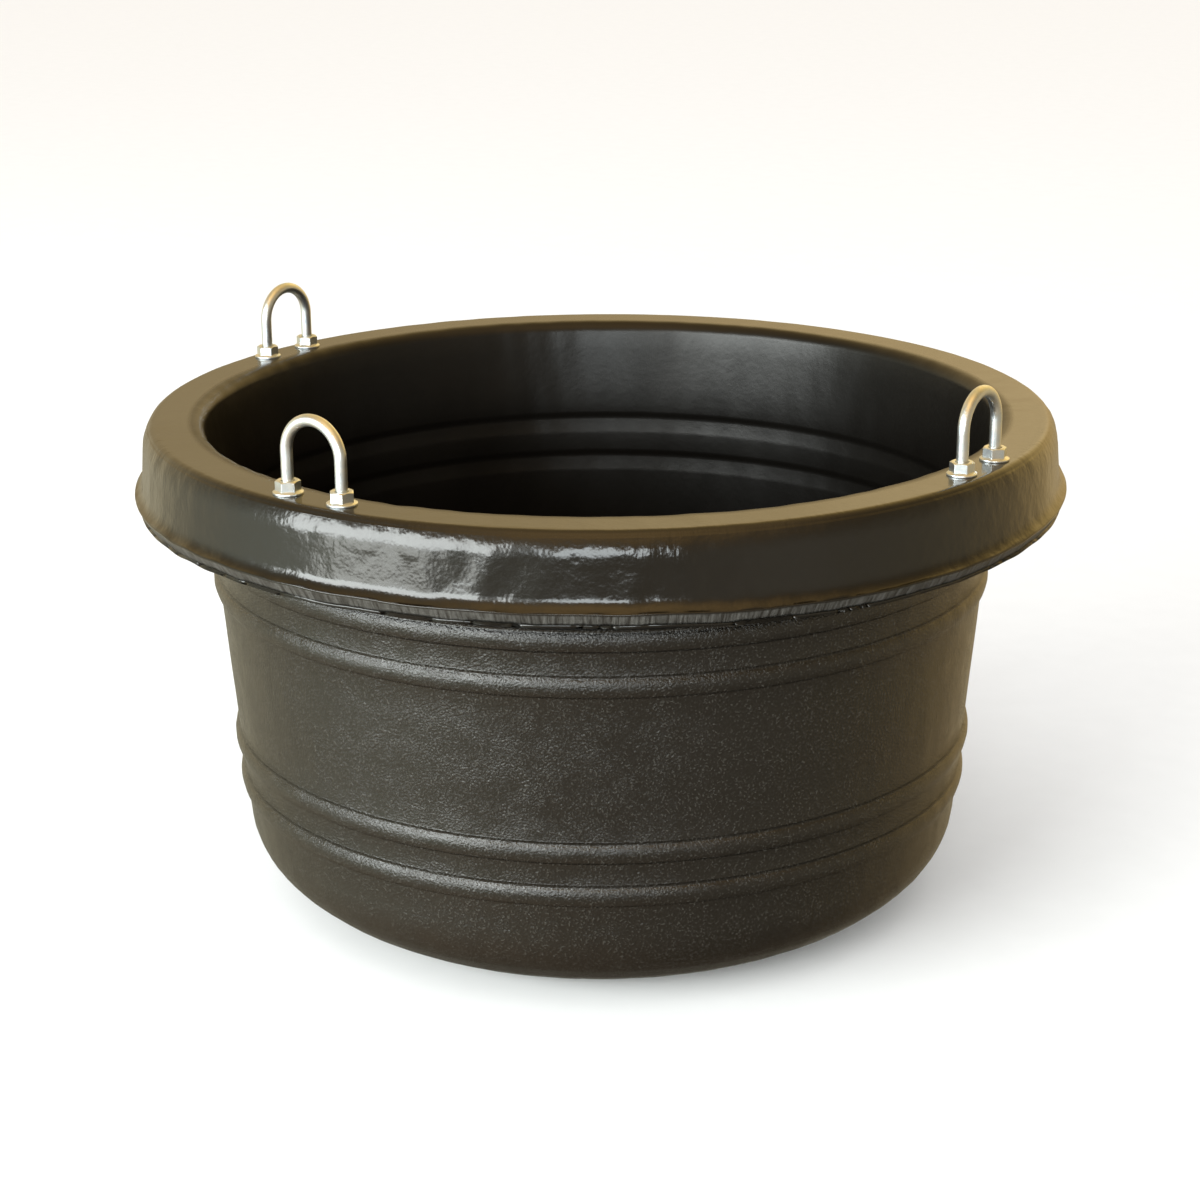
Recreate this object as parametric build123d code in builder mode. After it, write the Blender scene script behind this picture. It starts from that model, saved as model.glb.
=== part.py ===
from build123d import *
import os
from math import cos, pi, radians, sin, tan

# Round moulded feed tub with a rolled rim and three clamped U-bolt eyes.
# Millimetres. The origin is the middle of the flat base, +Z is up, and the
# eyes stand on the rim at the front (-Y), the right (+X) and the left (-X).

# ---- Driving dimensions -------------------------------------------------

# Tub
LIP_RADIUS = 300.0  # trimmed edge of the skirt, the widest point
LIP_HEIGHT = 277.0  # trimmed edge above the base
RIM_HEIGHT = 321.0  # flat top of the rim above the base
WALL = 6.0
DRAFT = 4.7  # taper of body and skirt, degrees from vertical
BODY_RADIUS_AT_LIP = 254.7  # outside of the plain body wall, level with the lip
SKIRT_RADIUS_AT_RIM = 291.8  # the skirt's taper carried up to the rim's height
RIM_OUTER_CORNER = 5.0  # where the flat top turns down to the shoulder
RIM_SHOULDER_DROP = 8.7  # shoulder's meeting point with the skirt, below the top
RIM_SHOULDER_SLOPE = 30.0  # shoulder's run, degrees from vertical
RIM_SHOULDER_RADIUS = 26.0
RIM_INNER_CORNER = 8.0
LIP_FLARE_ANGLE = 31.0  # last run of the skirt, degrees below horizontal
LIP_FLARE_RADIUS = 9.5

# Throat: above this height the body's wall opens a little wider, up to the rim
THROAT_HEIGHT = 268.0
THROAT_DRAFT = 7.1
THROAT_RADIUS = 300.0

# Base corner: a 45 degree facet blended into the wall and the flat base
FACET_HEIGHT = 38.7
FACET_TO_WALL_RADIUS = 49.0
FACET_TO_BASE_RADIUS = 83.0

# Ribs: two pairs of rounded hoops standing out of the body wall
UPPER_RIB_TOP = 252.8
LOWER_RIB_TOP = 118.2
RIB_PITCH = 28.3
RIB_HEIGHT = 14.5
RIB_PROUD = 4.4  # corner of the shoulder before its rounding, which leaves about 3 mm
RIB_SHOULDER_DROP = 4.8  # height over which a rib rises out of the wall
RIB_FOOT_PROUD = 2.5
RIB_FOOT_RISE = 1.6
RIB_SHOULDER_RADIUS = 11.0
RIB_CREASE_RADIUS = 1.0

# Shallow hollows in the inside of the wall, one behind each rib
HOLLOW_DEPTH = 1.4
HOLLOW_BOTTOM_DROP = 13.5  # heights are below or above the top of the rib
HOLLOW_CROWN_DROP = 2.5
HOLLOW_TOP_RISE = 1.5
HOLLOW_BOTTOM_RADIUS = 20.0
HOLLOW_CROWN_RADIUS = 6.0

# U-bolts, M8, and their flange nuts
EYE_ANGLES = {"front": -90.0, "right": 0.0, "left": 180.0}
BOLT_CIRCLE_RADIUS = 274.5
LEG_SPACING = 40.7
SHANK_DIAMETER = 7.1
THREAD_DIAMETER = 8.0
THREAD_ABOVE_RIM = 6.5
EYE_HEIGHT = 49.0  # top of the bend above the rim
LEG_BELOW_RIM = 18.5  # end of each leg below the top of the rim
LEG_END_CHAMFER = 0.9
BOLT_HOLE_DIAMETER = 9.0
NUT_ACROSS_FLATS = 13.0
NUT_HEIGHT = 8.0
NUT_BORE_DIAMETER = 8.1
NUT_BORE_CHAMFER = 0.4
NUT_CROWN_DIAMETER = 12.2
NUT_CROWN_SLOPE = 30.0
FLANGE_DIAMETER = 17.9
FLANGE_EDGE = 1.2
FLANGE_SLOPE = 25.0

# How far each nut was turned when it was tightened, in degrees, by its
# leg: the first leg is the one at the lower angle round the rim.
UPPER_NUT_TURNS = {"front": (43.0, 13.0), "right": (52.0, 15.0), "left": (0.0, 3.0)}
LOWER_NUT_TURNS = {"front": (5.0, 28.0), "right": (47.0, 11.0), "left": (33.0, 54.0)}

# ---- Worked-out dimensions ----------------------------------------------

TAPER = tan(radians(DRAFT))
UNDER_RIM = RIM_HEIGHT - WALL
RIB_TOPS = (
    LOWER_RIB_TOP - RIB_PITCH,
    LOWER_RIB_TOP,
    UPPER_RIB_TOP - RIB_PITCH,
    UPPER_RIB_TOP,
)
HALF_SPACING = LEG_SPACING / 2
EYE_PLANE_RADIUS = (BOLT_CIRCLE_RADIUS**2 - HALF_SPACING**2) ** 0.5
BEND_CENTRE_HEIGHT = RIM_HEIGHT + EYE_HEIGHT - SHANK_DIAMETER / 2 - HALF_SPACING
LEG_END_HEIGHT = RIM_HEIGHT - LEG_BELOW_RIM


def body_radius(height):
    """Outside radius of the plain body wall at a height above the base."""
    return BODY_RADIUS_AT_LIP + (height - LIP_HEIGHT) * TAPER


def throat_radius(height):
    """Outside radius of the body wall at a height above the throat's start."""
    rise = height - THROAT_HEIGHT
    return body_radius(THROAT_HEIGHT) + rise * tan(radians(THROAT_DRAFT))


def skirt_radius(height):
    """Outside radius of the skirt at a height above the base."""
    return SKIRT_RADIUS_AT_RIM + (RIM_HEIGHT - height) * TAPER


# Each outline below is a list of corners: (radius, height, corner rounding).


def rib_corners(top):
    """One rib on the outside of the wall, from its foot up."""
    bottom = top - RIB_HEIGHT
    foot = bottom + RIB_FOOT_RISE
    shoulder = top - RIB_SHOULDER_DROP
    return [
        (body_radius(bottom), bottom, RIB_CREASE_RADIUS),
        (body_radius(foot) + RIB_FOOT_PROUD, foot, RIB_CREASE_RADIUS),
        (body_radius(shoulder) + RIB_PROUD, shoulder, RIB_SHOULDER_RADIUS),
        (body_radius(top), top, RIB_CREASE_RADIUS),
    ]


def hollow_corners(rib_top):
    """The hollow inside the wall behind one rib, from its bottom up."""
    bottom = rib_top - HOLLOW_BOTTOM_DROP
    crown = rib_top - HOLLOW_CROWN_DROP
    top = rib_top + HOLLOW_TOP_RISE
    return [
        (body_radius(bottom) - WALL, bottom, HOLLOW_BOTTOM_RADIUS),
        (body_radius(crown) - WALL + HOLLOW_DEPTH, crown, HOLLOW_CROWN_RADIUS),
        (body_radius(top) - WALL, top, HOLLOW_CROWN_RADIUS),
    ]


def base_corners(inset):
    """The base's outer corner, from the flat up: two corners that bound the 45 degree facet."""
    facet_shift = inset * (2**0.5 - 1)
    facet_height = FACET_HEIGHT + inset - facet_shift
    flat_radius = body_radius(FACET_HEIGHT) - FACET_HEIGHT - facet_shift
    return [
        (flat_radius, inset, FACET_TO_BASE_RADIUS - inset),
        (body_radius(facet_height) - inset, facet_height, FACET_TO_WALL_RADIUS - inset),
    ]


def lip_corners(inset):
    """The skirt's foot: its flare and its trimmed edge, on the outside or the inside."""
    slope = radians(LIP_FLARE_ANGLE)
    edge_radius = LIP_RADIUS - inset * sin(slope)
    edge_height = LIP_HEIGHT - inset * cos(slope)
    # The skirt's straight wall meets the flare's straight run here.
    skirt_at_edge = skirt_radius(edge_height) - inset
    flare_radius = (skirt_at_edge - TAPER * tan(slope) * edge_radius) / (1 - TAPER * tan(slope))
    flare_height = edge_height + (edge_radius - flare_radius) * tan(slope)
    return [
        (flare_radius, flare_height, LIP_FLARE_RADIUS + inset),
        (edge_radius, edge_height, 0.6),
    ]


def rim_corners(inset):
    """The rim's outer edge, from the skirt up: the shoulder, then the corner of the top.

    Both stay at the wall's thickness from the outside when inset is WALL.
    """
    slope = radians(RIM_SHOULDER_SLOPE)
    draft = radians(DRAFT)
    shoulder_height = RIM_HEIGHT - RIM_SHOULDER_DROP
    half_turn = (slope - draft) / 2
    shoulder_shift = inset / cos(half_turn)
    across = shoulder_shift * cos(draft + half_turn)
    down = shoulder_shift * sin(draft + half_turn)
    corner_radius = skirt_radius(shoulder_height) - RIM_SHOULDER_DROP * tan(slope)
    corner_shift = inset * tan((pi / 2 - slope) / 2)
    return [
        (
            skirt_radius(shoulder_height) - across,
            shoulder_height - down,
            RIM_SHOULDER_RADIUS - inset,
        ),
        (corner_radius - corner_shift, RIM_HEIGHT - inset, max(RIM_OUTER_CORNER - inset, 0.5)),
    ]


def tub_section():
    """The closed outline of the tub's wall, from the axis out and back along the inside."""
    outline = [(0.0, 0.0, 0.0)]
    outline += base_corners(0)
    for top in RIB_TOPS:
        outline += rib_corners(top)
    outline += [
        (body_radius(THROAT_HEIGHT), THROAT_HEIGHT, THROAT_RADIUS),
        (throat_radius(UNDER_RIM), UNDER_RIM, RIM_INNER_CORNER - WALL),
    ]
    outline += reversed(rim_corners(WALL))
    outline += lip_corners(WALL)
    outline += reversed(lip_corners(0))
    outline += rim_corners(0)
    outline += [
        (throat_radius(RIM_HEIGHT) - WALL, RIM_HEIGHT, RIM_INNER_CORNER),
        (body_radius(THROAT_HEIGHT) - WALL, THROAT_HEIGHT, THROAT_RADIUS),
    ]
    for top in reversed(RIB_TOPS):
        outline += reversed(hollow_corners(top))
    outline += reversed(base_corners(WALL))
    outline += [(0.0, WALL, 0.0)]
    return outline


def eye_directions(angle):
    """Outward and tangential unit vectors of an eye at an angle round the rim."""
    outward = Vector(cos(radians(angle)), sin(radians(angle)), 0)
    along = Vector(-sin(radians(angle)), cos(radians(angle)), 0)
    return outward, along


def seat_plane(angle, side, height, facing, turn):
    """A nut's seat on one leg: side is -1 or 1, facing is 1 for up or -1 for down."""
    outward, along = eye_directions(angle)
    centre = outward * EYE_PLANE_RADIUS + along * (side * HALF_SPACING)
    flat_direction = outward.rotate(Axis.Z, turn)
    return Plane(
        origin=centre + Vector(0, 0, height),
        x_dir=flat_direction,
        z_dir=(0, 0, facing),
    )


# ---- Tub ------------------------------------------------------------------

with BuildPart() as tub:
    with BuildSketch(Plane.XZ) as wall_section:
        corners = tub_section()
        with BuildLine():
            FilletPolyline(
                [(radius, height) for radius, height, rounding in corners],
                radius=[rounding for radius, height, rounding in corners],
                close=True,
            )
        make_face()
    revolve(axis=Axis.Z)
    for hole_angle in EYE_ANGLES.values():
        for hole_side in (-1, 1):
            with BuildSketch(seat_plane(hole_angle, hole_side, RIM_HEIGHT, 1, 0)):
                Circle(BOLT_HOLE_DIAMETER / 2)
    extrude(amount=-2 * WALL, mode=Mode.SUBTRACT)
tub.part.label = "tub"
export_step(tub.part, "parts/tub.step")


# ---- U-bolts --------------------------------------------------------------


def make_u_bolt(angle):
    """One bent rod: a plain shank over the rim and a threaded end on each leg."""
    outward, along = eye_directions(angle)
    upright = Plane(origin=outward * EYE_PLANE_RADIUS, x_dir=along, z_dir=outward)
    with BuildPart() as u_bolt:
        with BuildLine(upright) as bend:
            Line((-HALF_SPACING, LEG_END_HEIGHT), (-HALF_SPACING, BEND_CENTRE_HEIGHT))
            CenterArc((0, BEND_CENTRE_HEIGHT), HALF_SPACING, 180, -180)
            Line((HALF_SPACING, BEND_CENTRE_HEIGHT), (HALF_SPACING, LEG_END_HEIGHT))
        with BuildSketch(Plane(origin=bend.line @ 0, z_dir=(0, 0, 1))):
            Circle(SHANK_DIAMETER / 2)
        sweep()
        for side in (-1, 1):
            with BuildSketch(seat_plane(angle, side, LEG_END_HEIGHT, 1, 0)):
                Circle(THREAD_DIAMETER / 2)
        extrude(amount=LEG_BELOW_RIM + THREAD_ABOVE_RIM)
        chamfer(u_bolt.faces().group_by(Axis.Z)[0].edges(), LEG_END_CHAMFER)
    return u_bolt.part


# ---- Flange nuts ------------------------------------------------------------


def make_flange_nut(seat):
    """A hexagon nut on a sloped flange, standing on its seat plane along the plane's normal."""
    half_section = Plane(origin=seat.origin, x_dir=seat.x_dir, z_dir=-seat.y_dir)
    crown_radius = NUT_CROWN_DIAMETER / 2
    hexagon_radius = NUT_ACROSS_FLATS / 2 / cos(radians(30))
    crown_drop = (hexagon_radius - crown_radius) * tan(radians(NUT_CROWN_SLOPE))
    flange_radius = FLANGE_DIAMETER / 2
    flange_rise = flange_radius * tan(radians(FLANGE_SLOPE))
    with BuildPart() as nut:
        with BuildSketch(seat):
            RegularPolygon(NUT_ACROSS_FLATS / 2, 6, major_radius=False, rotation=30)
        extrude(amount=NUT_HEIGHT)
        # The crown: the hexagon's outer corners are turned off at a slope.
        with BuildSketch(half_section):
            with BuildLine():
                Polyline(
                    (0, 0),
                    (hexagon_radius, 0),
                    (hexagon_radius, NUT_HEIGHT - crown_drop),
                    (crown_radius, NUT_HEIGHT),
                    (0, NUT_HEIGHT),
                    close=True,
                )
            make_face()
        revolve(axis=Axis(seat.origin, seat.z_dir), mode=Mode.INTERSECT)
        # The flange: a flat washer face with a cone above its edge.
        with BuildSketch(half_section):
            with BuildLine():
                Polyline(
                    (0, 0),
                    (flange_radius, 0),
                    (flange_radius, FLANGE_EDGE),
                    (0, FLANGE_EDGE + flange_rise),
                    close=True,
                )
            make_face()
        revolve(axis=Axis(seat.origin, seat.z_dir))
        with Locations(seat):
            Hole(NUT_BORE_DIAMETER / 2)
        chamfer(nut.edges().filter_by(GeomType.CIRCLE).sort_by(SortBy.RADIUS)[:2], NUT_BORE_CHAMFER)
    return nut.part


for place, eye_angle in EYE_ANGLES.items():
    u_bolt_part = make_u_bolt(eye_angle)
    u_bolt_part.label = f"u_bolt_{place}"
    export_step(u_bolt_part, f"parts/u_bolt_{place}.step")
    for leg, leg_side in ((1, -1), (2, 1)):
        upper_turn = UPPER_NUT_TURNS[place][leg - 1]
        upper_nut = make_flange_nut(seat_plane(eye_angle, leg_side, RIM_HEIGHT, 1, upper_turn))
        upper_nut.label = f"upper_nut_{place}_{leg}"
        export_step(upper_nut, f"parts/upper_nut_{place}_{leg}.step")
        lower_turn = LOWER_NUT_TURNS[place][leg - 1]
        lower_nut = make_flange_nut(seat_plane(eye_angle, leg_side, UNDER_RIM, -1, lower_turn))
        lower_nut.label = f"lower_nut_{place}_{leg}"
        export_step(lower_nut, f"parts/lower_nut_{place}_{leg}.step")
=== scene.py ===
import math

import bpy
import numpy as np
from mathutils import Matrix, Vector


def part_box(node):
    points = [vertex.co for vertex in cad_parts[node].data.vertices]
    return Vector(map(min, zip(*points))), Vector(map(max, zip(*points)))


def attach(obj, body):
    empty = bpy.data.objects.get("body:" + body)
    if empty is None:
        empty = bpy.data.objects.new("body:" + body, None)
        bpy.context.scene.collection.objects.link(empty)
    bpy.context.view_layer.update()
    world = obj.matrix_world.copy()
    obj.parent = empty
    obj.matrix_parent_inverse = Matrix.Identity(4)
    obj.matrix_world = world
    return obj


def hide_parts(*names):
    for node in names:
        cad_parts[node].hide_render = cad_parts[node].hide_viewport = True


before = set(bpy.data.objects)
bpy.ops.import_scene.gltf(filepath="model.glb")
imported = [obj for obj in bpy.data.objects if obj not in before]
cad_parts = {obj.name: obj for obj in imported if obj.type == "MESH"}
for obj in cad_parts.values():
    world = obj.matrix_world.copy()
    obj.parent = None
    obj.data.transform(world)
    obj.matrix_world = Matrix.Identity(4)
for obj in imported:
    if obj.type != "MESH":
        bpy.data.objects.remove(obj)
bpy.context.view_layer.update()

# Everything is in metres in the row frame, except the tub's section, which is traced in millimetres.
MM = 0.001

# ---------------------------------------------------------------- camera
CAMERA_AZIMUTH = 36.0
CAMERA_DISTANCE = 1.568
CAMERA_HEIGHT = 0.7040
CAMERA_PITCH = 18.245
CAMERA_ROLL = -0.30
CAMERA_LENS = 74.5
CAMERA_SHIFT = -0.00104

turn = math.radians(CAMERA_AZIMUTH)
camera_data = bpy.data.cameras.new("camera")
camera_data.lens = CAMERA_LENS
camera_data.sensor_width = 36.0
camera_data.shift_x = CAMERA_SHIFT
camera_data.clip_end = 100.0
camera = bpy.data.objects.new("camera", camera_data)
camera.matrix_world = (
    Matrix.Translation((CAMERA_DISTANCE * math.sin(turn), -CAMERA_DISTANCE * math.cos(turn), CAMERA_HEIGHT))
    @ Matrix.Rotation(turn, 4, "Z")
    @ Matrix.Rotation(math.radians(90 - CAMERA_PITCH), 4, "X")
    @ Matrix.Rotation(math.radians(CAMERA_ROLL), 4, "Z")
)
bpy.context.scene.collection.objects.link(camera)
bpy.context.scene.camera = camera
bpy.context.scene.view_settings.view_transform = "Standard"


# ---------------------------------------------------------------- shared helpers
def add_mesh(name, points, faces, material, smooth=True):
    """A linked mesh object from arrays of points (metres) and faces."""
    mesh = bpy.data.meshes.new(name)
    mesh.from_pydata(points.tolist(), [], [list(face) for face in faces])
    mesh.validate()
    mesh.polygons.foreach_set("use_smooth", np.full(len(mesh.polygons), smooth))
    mesh.materials.append(material)
    piece = bpy.data.objects.new(name, mesh)
    bpy.context.scene.collection.objects.link(piece)
    return piece


def ring_faces(rings, around, closed=False):
    """Quads between successive rings of `around` points, laid ring after ring."""
    ring = np.arange(rings if closed else rings - 1)[:, None]
    step = np.arange(around)[None, :]
    nxt = (step + 1) % around
    upper = (ring + 1) % rings
    corners = [ring * around + step, ring * around + nxt, upper * around + nxt, upper * around + step]
    return np.stack(corners, -1).reshape(-1, 4)


def place(piece, node):
    """The piece stands for its CAD node and rides with it."""
    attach(piece, "root")
    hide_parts(node)


class Graph:
    """A short way to write a shader node tree."""

    def __init__(self, tree):
        self.tree = tree
        tree.nodes.clear()

    def node(self, kind, inputs=(), **settings):
        made = self.tree.nodes.new(kind)
        for key, value in settings.items():
            setattr(made, key, value)
        for key, value in dict(inputs).items():
            self.put(made.inputs[key], value)
        return made

    def put(self, socket, value):
        if isinstance(value, bpy.types.NodeSocket):
            self.tree.links.new(value, socket)
        else:
            socket.default_value = value

    def math(self, operation, *values, clamp=False):
        made = self.node("ShaderNodeMath", enumerate(values), operation=operation, use_clamp=clamp)
        return made.outputs[0]

    def vector(self, operation, *values):
        made = self.node("ShaderNodeVectorMath", enumerate(values), operation=operation)
        return made.outputs["Value" if operation == "DOT_PRODUCT" else "Vector"]

    def range(self, value, low, high, to_low=0.0, to_high=1.0, smooth=False):
        inputs = {"Value": value, "From Min": low, "From Max": high, "To Min": to_low, "To Max": to_high}
        kind = "SMOOTHSTEP" if smooth else "LINEAR"
        return self.node("ShaderNodeMapRange", inputs, interpolation_type=kind).outputs[0]

    def noise(self, where, scale, detail=2.0, rough=0.5, distortion=0.0):
        inputs = {"Vector": where, "Scale": scale, "Detail": detail, "Roughness": rough}
        inputs["Distortion"] = distortion
        return self.node("ShaderNodeTexNoise", inputs).outputs[0]

    def mix(self, factor, low, high):
        made = self.node("ShaderNodeMix", {0: factor, 6: low, 7: high}, data_type="RGBA")
        return made.outputs[2]

    def mix_value(self, factor, low, high):
        return self.node("ShaderNodeMix", {0: factor, 2: low, 3: high}, data_type="FLOAT").outputs[0]

    def attribute(self, name, output="Fac"):
        return self.node("ShaderNodeAttribute", attribute_name=name).outputs[output]


# ---------------------------------------------------------------- the tub's section, in millimetres
LIP_RADIUS = 300.0
LIP_HEIGHT = 277.0
RIM_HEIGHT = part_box("upper_nut_front_1")[0].z / MM
WALL = 6.0
TAPER = math.tan(math.radians(4.7))
BODY_RADIUS_AT_LIP = 254.7
SKIRT_RADIUS_AT_RIM = 291.8
UNDER_RIM = RIM_HEIGHT - WALL
LIP_FLARE_ANGLE = math.radians(31)
LIP_FLARE_RADIUS = 9.5
CUT_WIDENING = 3.4
FACET_HEIGHT = 38.7
RIB_TOPS = (89.9, 118.2, 224.5, 252.8)
RIB_HEIGHT = 14.5
RIB_PROUD = 4.4
RIB_SHOULDER_DROP = 4.8
RIB_FOOT_PROUD = 2.5
RIB_FOOT_RISE = 1.6
RIB_SHOULDER_RADIUS = 11.0
RIB_CREASE_RADIUS = 1.0
HOLLOW_DEPTH = 1.4
HOLLOW_BOTTOM_DROP = 13.5
HOLLOW_CROWN_DROP = 2.5
HOLLOW_TOP_RISE = 1.5
HOLLOW_BOTTOM_RADIUS = 20.0
HOLLOW_CROWN_RADIUS = 6.0
THROAT_HEIGHT = 268.0
THROAT_TAPER = math.tan(math.radians(7.1))
THROAT_RADIUS = 300.0
RIM_SHOULDER_DROP = 8.7
RIM_SHOULDER_SLOPE = math.radians(30)
RIM_SHOULDER_RADIUS = 26.0
RIM_OUTER_CORNER = 5.0
RIM_INNER_CORNER = 8.0
UNDER_RIM_CORNER = 2.0
SMALLEST_CORNER = 0.5
CUT_EDGE_RADIUS = 0.6
BASE_EDGE_RADIUS = 83.0
BASE_SHOULDER_RADIUS = 49.0


def body_radius(height):
    return BODY_RADIUS_AT_LIP + (height - LIP_HEIGHT) * TAPER


def throat_radius(height):
    return body_radius(THROAT_HEIGHT) + (height - THROAT_HEIGHT) * THROAT_TAPER


def skirt_radius(height):
    return SKIRT_RADIUS_AT_RIM + (RIM_HEIGHT - height) * TAPER


def rib_corners(top):
    """One hoop rib from its foot upward: (radius, height, fillet)."""
    bottom = top - RIB_HEIGHT
    foot = bottom + RIB_FOOT_RISE
    shoulder = top - RIB_SHOULDER_DROP
    return [
        (body_radius(bottom), bottom, RIB_CREASE_RADIUS),
        (body_radius(foot) + RIB_FOOT_PROUD, foot, RIB_CREASE_RADIUS),
        (body_radius(shoulder) + RIB_PROUD, shoulder, RIB_SHOULDER_RADIUS),
        (body_radius(top), top, RIB_CREASE_RADIUS),
    ]


def hollow_corners(rib_top):
    """The shallow hollow inside the wall behind one rib."""
    bottom = rib_top - HOLLOW_BOTTOM_DROP
    crown = rib_top - HOLLOW_CROWN_DROP
    top = rib_top + HOLLOW_TOP_RISE
    return [
        (body_radius(bottom) - WALL, bottom, HOLLOW_BOTTOM_RADIUS),
        (body_radius(crown) - WALL + HOLLOW_DEPTH, crown, HOLLOW_CROWN_RADIUS),
        (body_radius(top) - WALL, top, HOLLOW_CROWN_RADIUS),
    ]


def rim_corners(inset):
    """The rim's outer edge, from the skirt up: the shoulder, then the corner of the flat top."""
    draft = math.atan(TAPER)
    shoulder = RIM_HEIGHT - RIM_SHOULDER_DROP
    half_turn = (RIM_SHOULDER_SLOPE - draft) / 2
    shift = inset / math.cos(half_turn)
    corner = skirt_radius(shoulder) - RIM_SHOULDER_DROP * math.tan(RIM_SHOULDER_SLOPE)
    across, down = shift * math.cos(draft + half_turn), shift * math.sin(draft + half_turn)
    corner -= inset * math.tan((math.pi / 2 - RIM_SHOULDER_SLOPE) / 2)
    return [
        (skirt_radius(shoulder) - across, shoulder - down, RIM_SHOULDER_RADIUS - inset),
        (corner, RIM_HEIGHT - inset, max(RIM_OUTER_CORNER - inset, SMALLEST_CORNER)),
    ]


def base_corners(inset):
    """The base's rounded edge: a 45 degree facet, rounded into the flat and into the wall."""
    shift = inset * (math.sqrt(2) - 1)
    height = FACET_HEIGHT + inset - shift
    flat = body_radius(FACET_HEIGHT) - FACET_HEIGHT - shift
    return [
        (flat, inset, BASE_EDGE_RADIUS - inset),
        (body_radius(height) - inset, height, BASE_SHOULDER_RADIUS - inset),
    ]


def lip_corners(inset, drop=0.0):
    """The flare's bend and its cut edge; drop lengthens the cut face along itself."""
    out, down = math.sin(LIP_FLARE_ANGLE), math.cos(LIP_FLARE_ANGLE)
    edge = (LIP_RADIUS - (inset + drop) * out, LIP_HEIGHT - (inset + drop) * down)
    slope = math.tan(LIP_FLARE_ANGLE)
    base = edge[1] + slope * edge[0]
    reach = SKIRT_RADIUS_AT_RIM - inset + RIM_HEIGHT * TAPER
    height = (base - slope * reach) / (1 - slope * TAPER)
    return [(skirt_radius(height) - inset, height, LIP_FLARE_RADIUS + inset), (*edge, CUT_EDGE_RADIUS)]


OUTER_BODY = base_corners(0.0) + [corner for top in RIB_TOPS for corner in rib_corners(top)]
INNER_BODY = base_corners(WALL) + [corner for top in RIB_TOPS for corner in hollow_corners(top)]
CHANNEL = [
    (body_radius(THROAT_HEIGHT), THROAT_HEIGHT, THROAT_RADIUS),
    (throat_radius(UNDER_RIM), UNDER_RIM, UNDER_RIM_CORNER),
    *reversed(rim_corners(WALL)),
]
RIM = [
    *rim_corners(0.0),
    (throat_radius(RIM_HEIGHT) - WALL, RIM_HEIGHT, RIM_INNER_CORNER),
    (body_radius(THROAT_HEIGHT) - WALL, THROAT_HEIGHT, THROAT_RADIUS),
]
CORNERS = [
    (0.0, 0.0, 0.0),
    *OUTER_BODY,
    *CHANNEL,
    *lip_corners(WALL, CUT_WIDENING),
    *reversed(lip_corners(0.0)),
    *RIM,
    *reversed(INNER_BODY),
    (0.0, WALL, 0.0),
]
# Corner numbers along the section, which the zones below are named by.
BODY_START = 1
BODY_END = BODY_START + len(OUTER_BODY) - 1
CUT_INSIDE = BODY_END + len(CHANNEL) + 2
CUT_OUTSIDE = CUT_INSIDE + 1
FLARE_BEND = CUT_OUTSIDE + 1
RIM_SHOULDER = FLARE_BEND + 1
RIM_OUTSIDE = RIM_SHOULDER + 1
RIM_INSIDE = RIM_OUTSIDE + 1


def run_spacing(number):
    """How far apart the points lie on the straight run after a corner, in millimetres."""
    on_cut_face, on_outside, on_top, on_base, elsewhere = 1.8, 3.4, 4.5, 60.0, 20.0
    if number == CUT_INSIDE:
        return on_cut_face
    if CUT_OUTSIDE <= number < RIM_OUTSIDE:
        return on_outside
    if number == RIM_OUTSIDE:
        return on_top
    if number == 0 or number == len(CORNERS) - 2:
        return on_base
    return elsewhere


def arc_step(fillet):
    """The angle between neighbouring points on a fillet: coarse where it is small or hidden."""
    tiny, tight = 5.0, 20.0
    if fillet < tiny:
        return math.radians(44)
    if fillet == HOLLOW_CROWN_RADIUS:
        return math.radians(22)
    if fillet == RIM_SHOULDER_RADIUS:
        return math.radians(5)
    return math.radians(13 if fillet < tight else 9)


def trace(corners):
    """The rounded section: its points, its outward normals and where each point lies in corner numbers."""
    points, where = [], []
    corner_points = [np.array(corner[:2]) for corner in corners]
    last = corner_points[0]
    for number, here in enumerate(corner_points):
        fillet = corners[number][2]
        arc_points = [here]
        if 0 < number < len(corners) - 1:
            back = corner_points[number - 1] - here
            ahead = corner_points[number + 1] - here
            back /= np.linalg.norm(back)
            ahead /= np.linalg.norm(ahead)
            half = math.acos(np.clip(back @ ahead, -1, 1)) / 2
            bisector = (back + ahead) / np.linalg.norm(back + ahead)
            centre = here + bisector * fillet / math.sin(half)
            start = here + back * fillet / math.tan(half)
            end = here + ahead * fillet / math.tan(half)
            sweep = math.pi - 2 * half
            steps = max(2, math.ceil(sweep / arc_step(fillet)))
            arc_points = []
            for step in range(steps + 1):
                share = step / steps
                weight_start = math.sin((1 - share) * sweep) / math.sin(sweep)
                weight_end = math.sin(share * sweep) / math.sin(sweep)
                spoke = weight_start * (start - centre) + weight_end * (end - centre)
                arc_points.append(centre + spoke)
        if number:
            run = arc_points[0] - last
            count = max(1, math.ceil(np.linalg.norm(run) / run_spacing(number - 1)))
            for step in range(1, count):
                points.append(last + run * step / count)
                where.append(number - 1 + step / count)
        points.extend(arc_points)
        where.extend([float(number)] * len(arc_points))
        last = arc_points[-1]
    points = np.array(points)
    along = np.gradient(points, axis=0)
    along /= np.linalg.norm(along, axis=1)[:, None]
    normals = np.stack([along[:, 1], -along[:, 0]], -1)
    return points, normals, np.array(where)


section, section_normals, section_place = trace(CORNERS)

# ---------------------------------------------------------------- the tub's shell
SEGMENTS = 476
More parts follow.
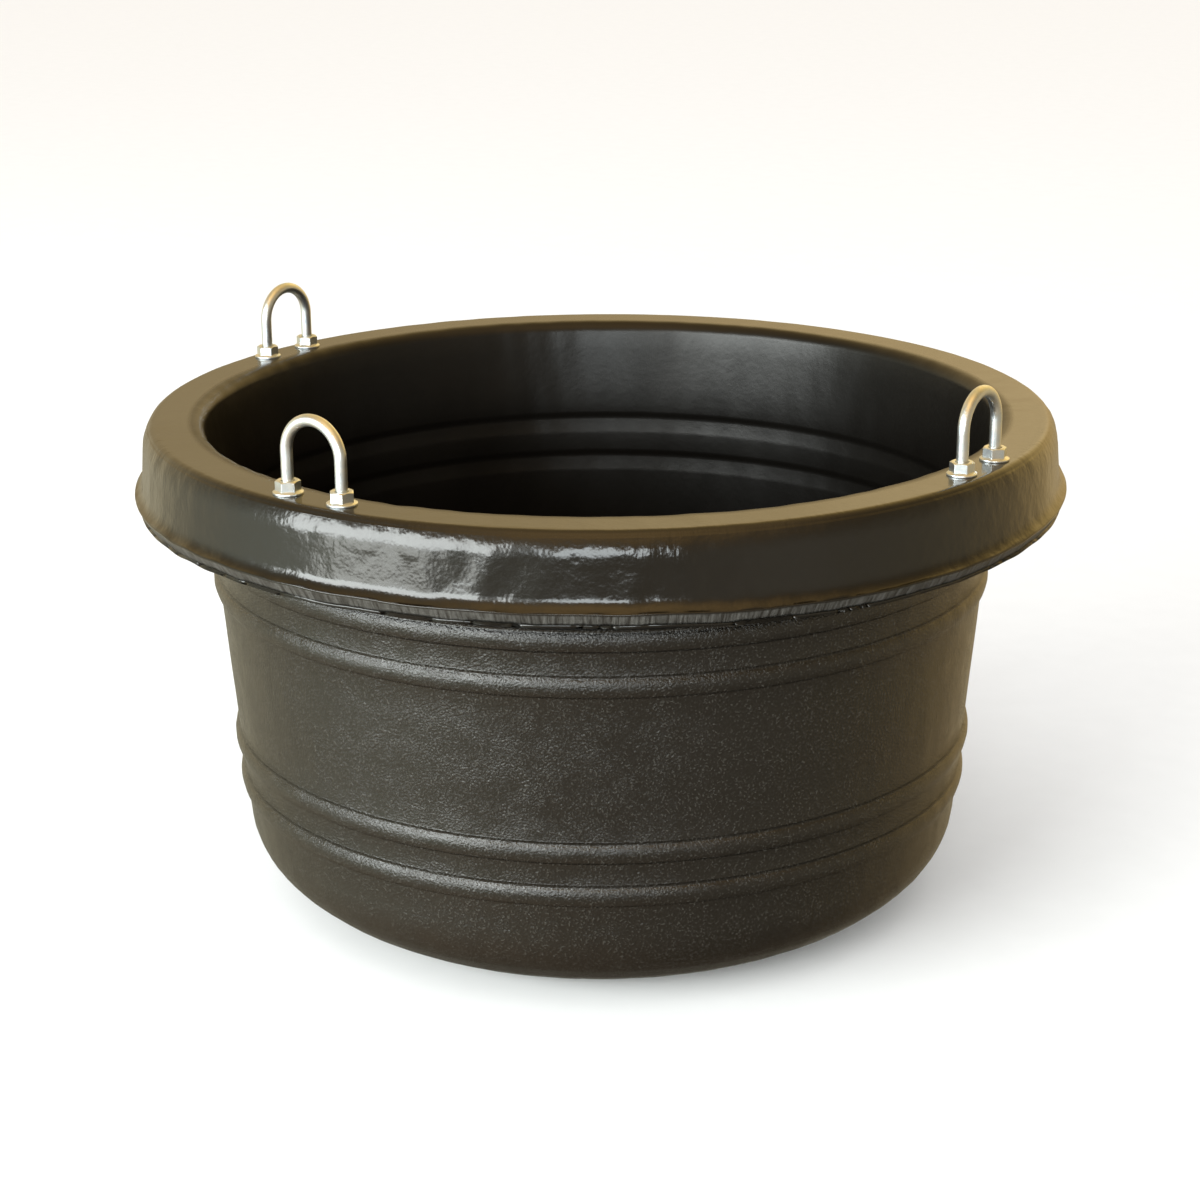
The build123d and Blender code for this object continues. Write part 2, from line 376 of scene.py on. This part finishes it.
# Amplitudes of the waviness, in millimetres: of the skirt, of the body, and of the cut edge.
COARSE_LUMP = 0.13
FINE_LUMP = 0.08
DENT = 0.22
GENTLE = 0.05
SLOW_WANDER, QUICK_WANDER = 0.7, 0.22
SLOW_TRIM, QUICK_TRIM = 0.5, 0.22
# Lumps vary by patch, from the first share of their amplitude up by the second.
LUMP_LEAST, LUMP_SPAN = 0.35, 0.9
# What the other zones take of the skirt's lumps and dents and of the body's gentle waves.
SKIRT_DENT_SHARE = 0.35
RIM_LUMP_SHARE = 0.3
RIM_DENT_SHARE = 0.4
INSIDE_GENTLE_SHARE = 1.6
INSIDE_DENT_SHARE = 0.25
# Heights between which dents come in on the inside, and radii between which all waviness comes in.
INSIDE_DENT_HEIGHTS = (60, 200)
WAVY_RADII = (90, 200)
# The height where the cut edge's wander has died out, and how far past the lip a bulge may reach.
WANDER_TOP = 300
BULGE_ROOM = 1.0
# The patterns that follow the tub round are drawn on a cylinder of this radius, in metres.
PATTERN_RADIUS = 0.29
# Flange seats stay flat inside the first distance and the waviness is back at the second.
SEAT_CALM = (0.010, 0.020)


def ripple(angle, along, seed, count, around, upright):
    """A seeded sum of `count` waves: `around` waves per turn, up to `upright` waves per millimetre."""
    random = np.random.default_rng(seed)
    total = np.zeros(np.broadcast(angle, along).shape)
    for _ in range(count):
        turns = random.integers(around[0], around[1] + 1)
        rise = random.uniform(-upright, upright)
        phase = random.uniform(0, 2 * math.pi)
        total += np.sin(turns * angle + 2 * math.pi * rise * along + phase)
    return total / math.sqrt(count / 2)


def between(value, low, high):
    """A smooth step from 0 at low to 1 at high."""
    share = np.clip((value - low) / (high - low), 0, 1)
    return share * share * (3 - 2 * share)


def zone(first, last, soft=0.02):
    """1 on the section between two corner numbers, 0 elsewhere."""
    return between(section_place, first - soft, first) * (1 - between(section_place, last, last + soft))


# Each zone ends part of the way along a run, so the fractions of a corner number say how far.
on_body = zone(BODY_START, BODY_END + 0.6)
# Just under the lip the plastic is made dull and its paler flecks are left out: painted shade where the
# lip's shadow falls.
shade_under_lip = zone(BODY_END - 0.02, CUT_INSIDE - 1.4, 0.1)
on_cut = zone(CUT_INSIDE + 0.02, CUT_OUTSIDE - 0.02)
on_skirt = zone(CUT_OUTSIDE + 0.02, RIM_SHOULDER + 0.9)
on_corner = zone(RIM_SHOULDER - 0.1, RIM_OUTSIDE, 0.2)
on_rim = zone(RIM_SHOULDER + 0.92, RIM_INSIDE)
on_inside = zone(RIM_INSIDE, len(CORNERS) - 1)

section_length = np.concatenate([[0], np.cumsum(np.linalg.norm(np.diff(section, axis=0), axis=1))])
angle = (np.arange(SEGMENTS) * 2 * math.pi / SEGMENTS)[:, None]
along = section_length[None, :]
lump = COARSE_LUMP * ripple(angle, along, 11, 60, (24, 70), 1 / 45)
lump += FINE_LUMP * ripple(angle, along, 12, 60, (60, 115), 1 / 22)
dent = DENT * ripple(angle, along, 13, 24, (3, 14), 1 / 160)
gentle = GENTLE * ripple(angle, along, 14, 60, (20, 90), 1 / 60)
patch = between(ripple(angle, along, 15, 12, (2, 9), 1 / 200), -0.6, 1.2)
dent_inside = INSIDE_DENT_SHARE * dent * between(section[:, 1], *INSIDE_DENT_HEIGHTS)
push = (on_skirt + on_rim * RIM_LUMP_SHARE) * lump * (LUMP_LEAST + LUMP_SPAN * patch)
push += (on_skirt + on_rim * RIM_DENT_SHARE) * dent * SKIRT_DENT_SHARE
push += on_body * gentle + on_inside * (gentle * INSIDE_GENTLE_SHARE + dent_inside)
# The floor of the tub is calm: waves that run round it would crowd together near the axis.
push *= between(section[:, 0], *WAVY_RADII)
# The edge was cut by hand, so it wanders up and down and its width changes.
lip_share = between(-section[:, 1], -WANDER_TOP, -LIP_HEIGHT) * zone(CUT_INSIDE - 1, FLARE_BEND + 0.9)
wander = SLOW_WANDER * ripple(angle, 0 * along, 16, 8, (2, 7), 0)
wander += QUICK_WANDER * ripple(angle, 0 * along, 17, 30, (12, 60), 0)
nick = ripple(angle, 0 * along, 18, 60, (70, 230), 0)
trim = SLOW_TRIM * ripple(angle, 0 * along, 19, 20, (9, 50), 0) + QUICK_TRIM * nick
radius = section[None, :, 0] + section_normals[None, :, 0] * push
height = section[None, :, 1] + section_normals[None, :, 1] * push + lip_share * wander
inner_edge = zone(CUT_INSIDE - 0.02, CUT_INSIDE + 0.55)
radius = radius - inner_edge * trim * math.sin(LIP_FLARE_ANGLE)
height = height - inner_edge * trim * math.cos(LIP_FLARE_ANGLE)

seats = [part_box(f"upper_nut_{eye}_{leg}") for eye in ("front", "right", "left") for leg in (1, 2)]
seat_centres = [((low + high) / 2).xy for low, high in seats]
plain = np.stack([section[None, :, 0] * np.cos(angle), section[None, :, 0] * np.sin(angle)], -1) * MM
from_seats = [np.linalg.norm(plain - np.array(centre), axis=-1) for centre in seat_centres]
nearest = np.min(from_seats, axis=0)
calm = between(nearest, *SEAT_CALM)
by_the_seats = section[None, :, 1] > UNDER_RIM - 1
calm = 1 - (1 - calm) * by_the_seats
radius = section[None, :, 0] + (radius - section[None, :, 0]) * calm
height = section[None, :, 1] + (height - section[None, :, 1]) * calm
radius = np.minimum(radius, LIP_RADIUS + BULGE_ROOM) * (section[None, :, 0] > 0)
shell = np.stack([radius * np.cos(angle), radius * np.sin(angle), np.maximum(height, 0.0)], -1) * MM


def add_shell(name, grid, material):
    """Closes the revolved grid (steps round, points along) on the axis at both ends."""
    steps, count = grid.shape[:2]
    body = grid[:, 1:-1].reshape(-1, 3)
    rows = count - 2
    step = np.arange(steps)[:, None]
    row = np.arange(rows - 1)[None, :]
    after = (step + 1) % steps
    corners = [step * rows + row, after * rows + row, after * rows + row + 1, step * rows + row + 1]
    quads = np.stack(corners, -1).reshape(-1, 4)
    low_pole, high_pole = len(body), len(body) + 1
    step, after = step[:, 0], after[:, 0]
    low_fan = np.stack([np.full(steps, low_pole), after * rows, step * rows], -1)
    high_fan = np.stack([np.full(steps, high_pole), step * rows + rows - 1, after * rows + rows - 1], -1)
    points = np.concatenate([body, grid[:1, 0], grid[:1, -1]])
    return add_mesh(name, points, quads.tolist() + low_fan.tolist() + high_fan.tolist(), material)


def add_attribute(mesh, name, values):
    """A number at each point of the shell, from one number per point of the section."""
    full = np.broadcast_to(values, (SEGMENTS, len(section)))
    flat = np.concatenate([full[:, 1:-1].reshape(-1), full[:1, 0], full[:1, -1]]).astype(np.float32)
    layer = mesh.attributes.new(name, "FLOAT", "POINT")
    layer.data.foreach_set("value", flat)


def add_around(mesh):
    """Where each point lies round the tub and along its section, for patterns that have no seam."""
    round_tub = np.broadcast_to(angle, (SEGMENTS, len(section)))
    length = np.broadcast_to(section_length[None, :] * MM, round_tub.shape)
    full = np.stack([PATTERN_RADIUS * np.cos(round_tub), PATTERN_RADIUS * np.sin(round_tub), length], -1)
    flat = np.concatenate([full[:, 1:-1].reshape(-1, 3), full[:1, 0], full[:1, -1]]).astype(np.float32)
    layer = mesh.attributes.new("around", "FLOAT_VECTOR", "POINT")
    layer.data.foreach_set("vector", flat.reshape(-1))


# ---------------------------------------------------------------- materials
# Depths of the plastic's fine relief, in metres.
GRAIN_DEPTH = 0.00062
PEEL_DEPTH = 0.00010
FLOW_DEPTH = 0.0003
KNIFE_DEPTH = 0.0009
HAMMER_DEPTH = 0.0006


def new_material(name):
    material = bpy.data.materials.new(name)
    material.use_nodes = True
    return material, Graph(material.node_tree)


def finish_material(graph, color, roughness, height, gloss=0.5, **constants):
    """The surface shader; height is in metres and becomes the bump."""
    bump = graph.node("ShaderNodeBump", {"Height": height, "Distance": 1.0, "Strength": 1.0})
    shader = graph.node("ShaderNodeBsdfPrincipled")
    graph.put(shader.inputs["Base Color"], color)
    graph.put(shader.inputs["Roughness"], roughness)
    graph.put(shader.inputs["Normal"], bump.outputs[0])
    graph.put(shader.inputs["Specular IOR Level"], gloss)
    for key, value in constants.items():
        shader.inputs[key].default_value = value
    graph.node("ShaderNodeOutputMaterial", {"Surface": shader.outputs[0]})


def black_polyethylene():
    """Moulded black plastic: grained on the body, pitted on the skirt, smooth on the rim and inside.

    Attributes on the mesh, 0 to 1, say where each of these is.
    """
    material, g = new_material("black_polyethylene")
    where = g.node("ShaderNodeTexCoord").outputs["Object"]
    around = g.attribute("around", "Vector")
    names = ("grain", "cut", "corner", "inside", "shade_under_lip", "skirt")
    grain, cut, corner, inside, shade_under_lip, skirt = (g.attribute(name) for name in names)
    smooth = g.math("SUBTRACT", 1.0, grain)

    # Large pale and dark clouds, and the fine relief as heights in metres.
    cloud = g.noise(where, 9.0, 3.0, 0.6)
    pebble = g.noise(where, 760.0, 2.0, 0.6)
    pebble_patch = g.range(g.noise(where, 60.0, 2.0), 0.3, 0.7, 0.7, 1.25)
    pebble_depth = g.math("MULTIPLY", grain, GRAIN_DEPTH)
    grain_height = g.math("MULTIPLY", g.math("MULTIPLY", pebble, pebble_patch), pebble_depth)
    peel = g.noise(where, 210.0, 2.0, 0.5)
    peel_height = g.math("MULTIPLY", peel, g.math("MULTIPLY", smooth, PEEL_DEPTH))
    flow = g.noise(g.vector("MULTIPLY", around, (1.0, 1.0, 0.16)), 240.0, 3.0, 0.6)
    flow_patch = g.range(g.noise(where, 14.0, 2.0), 0.35, 0.65)
    flow_depth = g.math("MULTIPLY", corner, FLOW_DEPTH)
    flow_height = g.math("MULTIPLY", g.math("MULTIPLY", flow, flow_patch), flow_depth)
    knife = g.noise(g.vector("MULTIPLY", around, (1.0, 1.0, 0.10)), 520.0, 3.0, 0.65)
    knife_height = g.math("MULTIPLY", g.math("MULTIPLY", knife, cut), KNIFE_DEPTH)
    hammer = g.noise(where, 78.0, 3.0, 0.6)
    hammer_height = g.math("MULTIPLY", hammer, g.math("MULTIPLY", skirt, HAMMER_DEPTH))
    height = grain_height
    for part in (peel_height, flow_height, knife_height, hammer_height):
        height = g.math("ADD", height, part)

    # Marks: a few short faint scratches that run round the body.
    lines = g.noise(g.vector("MULTIPLY", around, (1.0, 1.0, 22.0)), 46.0, 3.0, 0.6, 0.2)
    sparse = g.math("MULTIPLY", g.range(lines, 0.73, 0.77), grain, clamp=True)
    mark = g.math("MULTIPLY", sparse, 0.35)

    # Colour: the grain's high points get paler flecks, which are painted glints on a real grain; the cut
    # face is grey; just under the lip the flecks are left out, as painted shade.
    color = g.mix(cloud, (0.0026, 0.0024, 0.0021, 1), (0.0052, 0.0047, 0.0040, 1))
    open_grain = g.math("MULTIPLY", grain, g.math("SUBTRACT", 1.0, shade_under_lip))
    glint_fleck_share = g.math("MULTIPLY", open_grain, pebble_patch)
    glint_fleck = g.math("MULTIPLY", g.range(pebble, 0.56, 0.68), glint_fleck_share, clamp=True)
    color = g.mix(glint_fleck, color, (0.026, 0.025, 0.022, 1))
    cut_color = g.mix(g.range(knife, 0.38, 0.62), (0.012, 0.0115, 0.010, 1), (0.054, 0.053, 0.048, 1))
    color = g.mix(cut, color, cut_color)
    color = g.mix(mark, color, (0.09, 0.088, 0.08, 1))
    # Roughness and gloss, zone by zone; just under the lip the gloss is cut almost to nothing, which is
    # painted shade where the lip's shadow falls.
    rough_smooth = g.range(cloud, 0.3, 0.7, 0.15, 0.21)
    rough_grained = g.range(pebble_patch, 0.7, 1.25, 0.19, 0.25)
    rough = g.mix_value(grain, rough_smooth, rough_grained)
    rough = g.mix_value(inside, rough, g.range(cloud, 0.3, 0.7, 0.30, 0.36))
    rough = g.mix_value(cut, rough, 0.48)
    rough = g.math("ADD", rough, g.math("MULTIPLY", mark, 0.15))
    gloss = g.mix_value(shade_under_lip, g.mix_value(inside, 0.5, 0.29), 0.05)
    finish_material(g, color, rough, height, gloss, IOR=1.5)
    return material


def zinc_plated_steel():
    """Bright zinc: metallic, faintly mottled warm and cool, with fine drawing marks."""
    material, g = new_material("zinc_plated_steel")
    where = g.node("ShaderNodeTexCoord").outputs["Object"]
    tint = g.noise(where, 160.0, 3.0, 0.55)
    spots = g.noise(where, 900.0, 2.0, 0.6)
    color = g.mix(g.range(tint, 0.35, 0.65), (0.56, 0.62, 0.67, 1), (0.66, 0.67, 0.66, 1))
    color = g.mix(g.range(spots, 0.62, 0.75, 0.0, 0.5), color, (0.42, 0.42, 0.40, 1))
    rough = g.range(spots, 0.3, 0.7, 0.30, 0.44)
    height = g.math("MULTIPLY", g.math("ADD", g.math("MULTIPLY", spots, 0.4), tint), 0.00012)
    finish_material(g, color, rough, height, Metallic=1.0)
    return material


PLASTIC = black_polyethylene()
ZINC = zinc_plated_steel()

tub = add_shell("tub_shell", shell, PLASTIC)
add_attribute(tub.data, "grain", on_body)
add_attribute(tub.data, "cut", on_cut)
add_attribute(tub.data, "corner", on_corner)
add_attribute(tub.data, "inside", on_inside)
add_attribute(tub.data, "skirt", on_skirt)
add_attribute(tub.data, "shade_under_lip", shade_under_lip)
add_around(tub.data)
place(tub, "tub")


# ---------------------------------------------------------------- U-bolts
ROD_AROUND = 32
SHANK_RINGS = 9
BEND_RINGS = 41
SHANK_RADIUS = 3.55 * MM
THREAD_RADIUS = 3.98 * MM
THREAD_ROOT = 3.3 * MM
THREAD_PITCH = 1.25 * MM
THREAD_STEP = 0.17 * MM
# The thread's tooth: the steepness of its flanks, and the share of it that is flat at the root.
TOOTH_STEEPNESS = 2.6
TOOTH_ROOT = 0.25
THREAD_ABOVE_RIM = 6.5 * MM
END_CHAMFER = 0.9 * MM
RIM_TOP = RIM_HEIGHT * MM


def rod_radius(height, turned, end_height):
    """The leg's radius: plain above, a right-hand thread below, a chamfer at the end."""
    wave = (height / THREAD_PITCH - turned / (2 * math.pi)) % 1.0
    tooth = np.clip(TOOTH_STEEPNESS * np.abs(wave - 0.5) - TOOTH_ROOT, 0, 1)
    thread = THREAD_ROOT + (THREAD_RADIUS - THREAD_ROOT) * tooth
    run_out = between(height, RIM_TOP + THREAD_ABOVE_RIM - THREAD_PITCH, RIM_TOP + THREAD_ABOVE_RIM)
    radius = thread * (1 - run_out) + SHANK_RADIUS * run_out
    return np.minimum(radius, THREAD_RADIUS - END_CHAMFER + (height - end_height))


def make_u_bolt(eye):
    """The bent rod of one eye, through the middles of its two nuts."""
    low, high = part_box(f"u_bolt_{eye}")
    legs = []
    for leg in (1, 2):
        nut_low, nut_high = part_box(f"upper_nut_{eye}_{leg}")
        legs.append(np.array((nut_low + nut_high) / 2) * (1, 1, 0))
    middle = (legs[0] + legs[1]) / 2
    side = (legs[1] - legs[0]) / np.linalg.norm(legs[1] - legs[0])
    half = np.linalg.norm(legs[1] - legs[0]) / 2
    bend_height = high.z - SHANK_RADIUS - half
    thread_heights = np.arange(low.z, RIM_TOP + THREAD_ABOVE_RIM, THREAD_STEP)
    shank_heights = np.linspace(RIM_TOP + THREAD_ABOVE_RIM, bend_height, SHANK_RINGS)[:-1]
    rise = np.concatenate([thread_heights, shank_heights])
    bend = np.linspace(math.pi, 0, BEND_RINGS)
    up, flat = np.array((0.0, 0.0, 1.0)), np.cross(side, (0.0, 0.0, 1.0))
    path, across = [], []
    for height in rise:
        path.append(legs[0] + up * height)
        across.append(side)
    for share in bend:
        path.append(middle + side * half * math.cos(share) + up * (bend_height + half * math.sin(share)))
        across.append(-side * math.cos(share) - up * math.sin(share))
    for height in rise[::-1]:
        path.append(legs[1] + up * height)
        across.append(-side)
    path, across = np.array(path), np.array(across)
    spin = np.arange(ROD_AROUND) * 2 * math.pi / ROD_AROUND
    spokes = across[:, None] * np.cos(spin)[None, :, None] + flat[None, None] * np.sin(spin)[None, :, None]
    turned = np.arctan2(spokes[..., 1], spokes[..., 0])
    radius = np.full(turned.shape, SHANK_RADIUS)
    straight = path[:, 2] < RIM_TOP + THREAD_ABOVE_RIM
    radius[straight] = rod_radius(path[straight, 2][:, None], turned[straight], low.z)
    points = (path[:, None] + spokes * radius[..., None]).reshape(-1, 3)
    faces = ring_faces(len(path), ROD_AROUND).tolist()
    faces += [list(range(ROD_AROUND))[::-1], list(range(len(points) - ROD_AROUND, len(points)))]
    piece = add_mesh(f"u_bolt_{eye}_rod", points, faces, ZINC)
    place(piece, f"u_bolt_{eye}")


# ---------------------------------------------------------------- flange nuts
ACROSS_FLATS = 13.0 * MM
HEX_CORNER_ROUNDING = 0.35 * MM
NUT_HEIGHT = 8.0 * MM
CROWN_RADIUS = 6.1 * MM
CROWN_SLOPE = math.tan(math.radians(30))
FLANGE_RADIUS = 8.95 * MM
FLANGE_EDGE = 1.2 * MM
FLANGE_SLOPE = math.tan(math.radians(25))
NUT_AROUND = 96
BORE_RADIUS = 4.05 * MM
BORE_CHAMFER = 0.4 * MM
# How far each nut is turned, in degrees, for leg 1 and leg 2.
UPPER_TURNS = {"front": (43, 13), "right": (52, 15), "left": (0, 3)}
LOWER_TURNS = {"front": (5, 28), "right": (47, 11), "left": (33, 54)}


def hexagon(spin):
    """The hexagon's radius by angle, with lightly rounded corners; a flat faces angle 0."""
    apothem = ACROSS_FLATS / 2
    off_flat = (spin + math.pi / 6) % (math.pi / 3) - math.pi / 6
    sharp = apothem / np.cos(off_flat)
    corner = math.pi / 6
    inner = apothem - HEX_CORNER_ROUNDING
    centre = inner / math.cos(corner)
    off_corner = corner - np.abs(off_flat)
    reach = HEX_CORNER_ROUNDING**2 - (centre * np.sin(off_corner)) ** 2
    round_off = centre * np.cos(off_corner) + np.sqrt(np.maximum(reach, 0))
    return np.where(reach > 0, np.minimum(sharp, round_off), sharp)


def make_nut(node, turn, facing):
    """A flange nut standing on its seat; facing is 1 for up and -1 for hanging under the rim."""
    low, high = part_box(node)
    centre = (low + high) / 2
    seat = low.z if facing > 0 else high.z
    fine = []
    for side in range(6):
        fine += [side * math.pi / 3 + math.pi / 6 + math.radians(step) for step in range(-3, 4)]
    even = np.arange(NUT_AROUND) * 2 * math.pi / NUT_AROUND
    spin = np.unique(np.round(np.concatenate([even, fine]), 6) % round(2 * math.pi, 6))
    outline = hexagon(spin)
    corner = outline.max()
    meet = FLANGE_EDGE + (FLANGE_RADIUS - corner) * FLANGE_SLOPE
    full = FLANGE_EDGE + (FLANGE_RADIUS - ACROSS_FLATS / 2) * FLANGE_SLOPE
    shoulder = NUT_HEIGHT - (corner - CROWN_RADIUS) * CROWN_SLOPE
    ones = np.ones_like(spin)
    edge = 0.2 * MM
    rings = [
        (BORE_RADIUS * ones, NUT_HEIGHT / 2),
        (BORE_RADIUS * ones, BORE_CHAMFER),
        ((BORE_RADIUS + BORE_CHAMFER) * ones, 0.0),
        ((FLANGE_RADIUS - edge) * ones, 0.0),
        ((FLANGE_RADIUS - 0.3 * edge) * ones, 0.3 * edge),
        (FLANGE_RADIUS * ones, edge),
        (FLANGE_RADIUS * ones, FLANGE_EDGE - edge),
        ((FLANGE_RADIUS - 0.25 * edge) * ones, FLANGE_EDGE),
    ]
    for height in [FLANGE_EDGE + edge / 2, *np.linspace(meet, full, 7), full + edge]:
        cone = FLANGE_RADIUS - (height - FLANGE_EDGE) / FLANGE_SLOPE
        rings.append((np.maximum(outline if height >= meet else 0 * outline, cone), height))
    for height in [shoulder - edge, *np.linspace(shoulder, NUT_HEIGHT, 9)]:
        rings.append((np.minimum(outline, CROWN_RADIUS + (NUT_HEIGHT - height) / CROWN_SLOPE), height))
    rings += [
        ((CROWN_RADIUS - edge) * ones, NUT_HEIGHT),
        ((BORE_RADIUS + BORE_CHAMFER) * ones, NUT_HEIGHT),
        (BORE_RADIUS * ones, NUT_HEIGHT - BORE_CHAMFER),
    ]
    points = []
    for reach, height in rings:
        level = np.full(len(spin), height * facing)
        points.append(np.stack([reach * np.cos(spin), reach * np.sin(spin) * facing, level], -1))
    points = np.concatenate(points)
    heading = EYE_HEADINGS[node.split("_")[2]] + math.radians(turn)
    turned = points.copy()
    turned[:, 0] = points[:, 0] * math.cos(heading) - points[:, 1] * math.sin(heading) + centre.x
    turned[:, 1] = points[:, 0] * math.sin(heading) + points[:, 1] * math.cos(heading) + centre.y
    turned[:, 2] += seat
    faces = ring_faces(len(rings), len(spin), closed=True)
    piece = add_mesh(f"{node}_flanged", turned, faces, ZINC)
    piece.data.set_sharp_from_angle(angle=math.radians(24))
    place(piece, node)


EYE_HEADINGS = {"front": -math.pi / 2, "right": 0.0, "left": math.pi}
for eye in ("front", "right", "left"):
    make_u_bolt(eye)
    for leg in (1, 2):
        make_nut(f"upper_nut_{eye}_{leg}", UPPER_TURNS[eye][leg - 1], 1)
        make_nut(f"lower_nut_{eye}_{leg}", LOWER_TURNS[eye][leg - 1], -1)


# ---------------------------------------------------------------- floor, light and surroundings
def add_floor():
    """A plain pale floor."""
    material, g = new_material("pale_floor")
    where = g.node("ShaderNodeTexCoord").outputs["Object"]
    speckle = g.noise(where, 30.0, 3.0, 0.6)
    color = g.mix(speckle, (0.86, 0.86, 0.855, 1), (0.90, 0.90, 0.895, 1))
    rough = g.range(speckle, 0.3, 0.7, 0.7, 0.85)
    finish_material(g, color, rough, g.math("MULTIPLY", speckle, 0.00005), 0.0)
    half = 14.0
    points = np.array([(-half, -half, 0), (half, -half, 0), (half, half, 0), (-half, half, 0)])
    floor = add_mesh("floor", points, [(0, 1, 2, 3)], material)
    floor.visible_glossy = False


def add_softbox(name, azimuth, distance, lowest, highest, half_width, radiance, tint):
    """An upright soft light that faces the tub."""
    data = bpy.data.lights.new(name, "AREA")
    data.shape = "RECTANGLE"
    data.size = 2 * distance * math.tan(math.radians(half_width))
    data.size_y = highest - lowest
    data.energy = radiance * math.pi * data.size * data.size_y
    data.color = tint
    light = bpy.data.objects.new(name, data)
    heading = math.radians(azimuth)
    spot = (distance * math.cos(heading), distance * math.sin(heading), (lowest + highest) / 2)
    turned = Matrix.Rotation(heading + math.pi / 2, 4, "Z") @ Matrix.Rotation(math.pi / 2, 4, "X")
    light.matrix_world = Matrix.Translation(spot) @ turned
    light.visible_camera = False
    bpy.context.scene.collection.objects.link(light)


def add_surroundings():
    """The room that the surfaces mirror: soft warm lobes by direction. The camera sees plain white."""
    world = bpy.data.worlds.new("room")
    bpy.context.scene.world = world
    world.use_nodes = True
    g = Graph(world.node_tree)
    toward = g.node("ShaderNodeTexCoord").outputs["Generated"]
    total = (0.0, 0.0, 0.0)
    for azimuth, elevation, sharpness, color in ROOM:
        level = math.cos(math.radians(elevation))
        axis = (
            level * math.cos(math.radians(azimuth)),
            level * math.sin(math.radians(azimuth)),
            math.sin(math.radians(elevation)),
        )
        fall = g.math("MULTIPLY", g.math("SUBTRACT", g.vector("DOT_PRODUCT", toward, axis), 1.0), sharpness)
        lobe = g.vector("SCALE", color)
        g.put(lobe.node.inputs["Scale"], g.math("EXPONENT", fall))
        total = g.vector("ADD", total, lobe)
    behind = g.range(g.vector("DOT_PRODUCT", toward, BEHIND), *BEHIND_EDGE, 0.0, 1.0, True)
    upward = g.node("ShaderNodeSeparateXYZ", [(0, toward)]).outputs[2]
    low_behind = g.math("MULTIPLY", g.range(upward, *SILL, 1.0, 0.0, True), behind)
    total = g.mix(low_behind, total, g.vector("MULTIPLY", total, BELOW_SILL))
    path = g.node("ShaderNodeLightPath").outputs
    color = g.mix(path["Is Diffuse Ray"], total, AMBIENT)
    color = g.mix(path["Is Camera Ray"], color, (0.98, 0.98, 0.98, 1))
    background = g.node("ShaderNodeBackground", {"Color": color, "Strength": 1.0})
    g.node("ShaderNodeOutputWorld", {"Surface": background.outputs[0]})


# (azimuth from +X, elevation, sharpness, radiance); the lobes are added up.
ROOM = [
    (-134, -8, 7.0, (0.92, 1.05, 0.88)),
    (-99, -8, 7.0, (0.36, 0.46, 0.42)),
    (-9, -8, 7.0, (0.44, 0.39, 0.30)),
    (36, -8, 7.0, (0.44, 0.37, 0.23)),
    (81, -8, 7.0, (0.43, 0.30, 0.14)),
    (126, -8, 7.0, (0.19, 0.26, 0.30)),
    (171, -8, 7.0, (0.59, 0.55, 0.38)),
    (-114, -42, 3.5, (0.61, 0.42, 0.25)),
    (-54, -42, 3.5, (0.28, 0.24, 0.17)),
    (96, 22, 7.0, (1.50, 1.00, 0.28)),
    (161, 22, 7.0, (0.72, 0.50, 0.20)),
    (108, 16, 40.0, (0.50, 0.45, 0.35)),
    (0, 90, 3.0, (0.90, 0.58, 0.22)),
    (-54, 55, 6.0, (1.30, 0.78, 0.26)),
]
# Behind the tub the room is darker below a sill. The direction's soft edge is given as cosines,
# and the sill's as sines of elevation.
BEHIND = (-0.56, 0.80, 0.2)
BEHIND_EDGE = (0.75, 0.9)
SILL = (0.21, 0.25)
BELOW_SILL = (0.72, 0.68, 0.62)
# Only what the floor and the diffuse shading see.
AMBIENT = (1.1, 1.1, 1.1, 1)
# (name, azimuth, distance, lowest, highest, half width in degrees, radiance, tint)
SOFTBOXES = [
    ("window_left", -103.0, 2.3, 0.28, 1.34, 26.0, 14.0, (0.93, 0.98, 0.97)),
    ("window_low", -101.7, 1.55, 0.03, 0.25, 14.1, 7.0, (0.95, 0.98, 0.94)),
    ("window_front", -56.0, 2.9, 0.36, 1.16, 11.0, 10.5, (0.90, 0.98, 1.0)),
]
add_floor()
add_surroundings()
for softbox in SOFTBOXES:
    add_softbox(*softbox)
